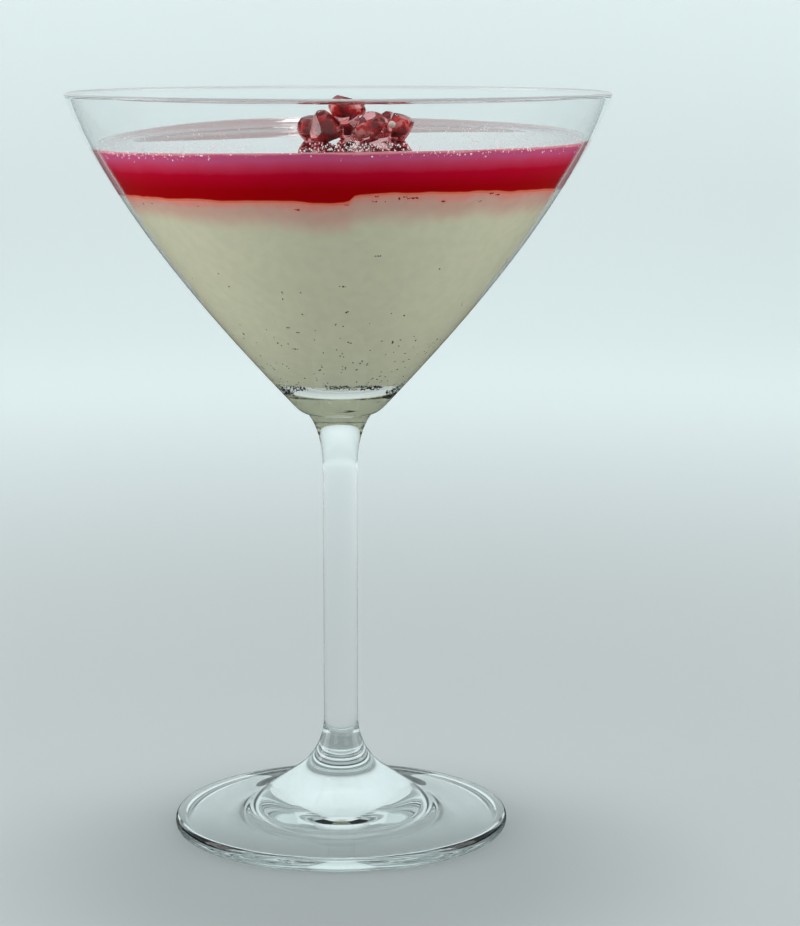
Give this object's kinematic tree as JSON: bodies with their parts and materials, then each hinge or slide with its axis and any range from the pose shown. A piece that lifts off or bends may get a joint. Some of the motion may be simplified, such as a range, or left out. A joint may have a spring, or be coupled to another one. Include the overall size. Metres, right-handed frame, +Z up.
{
  "type": "panna cotta with fruit jelly in a cocktail glass",
  "caption": "Set cream dessert under a layer of red fruit jelly, in a stemmed cocktail glass, topped with pomegranate arils.",
  "frame": {"origin": "middle of the foot, on the surface that the glass stands on", "axes": "+Z up the stem; +Y away from the side it is seen from; +X to the right of that side"},
  "size_m": [0.1228, 0.1228, 0.17],
  "materials": {
    "clear_glass": "polished",
    "set_cream": "satin",
    "red_jelly": "polished",
    "aril_flesh": "gloss"
  },
  "bodies": {
    "root": {"glass": "clear_glass", "panna_cotta": "set_cream", "jelly": "red_jelly", "aril_back_left": "aril_flesh", "aril_back_right": "aril_flesh", "aril_front": "aril_flesh", "aril_left": "aril_flesh", "aril_middle": "aril_flesh", "aril_right": "aril_flesh", "aril_top": "aril_flesh"}
  },
  "joints": []
}
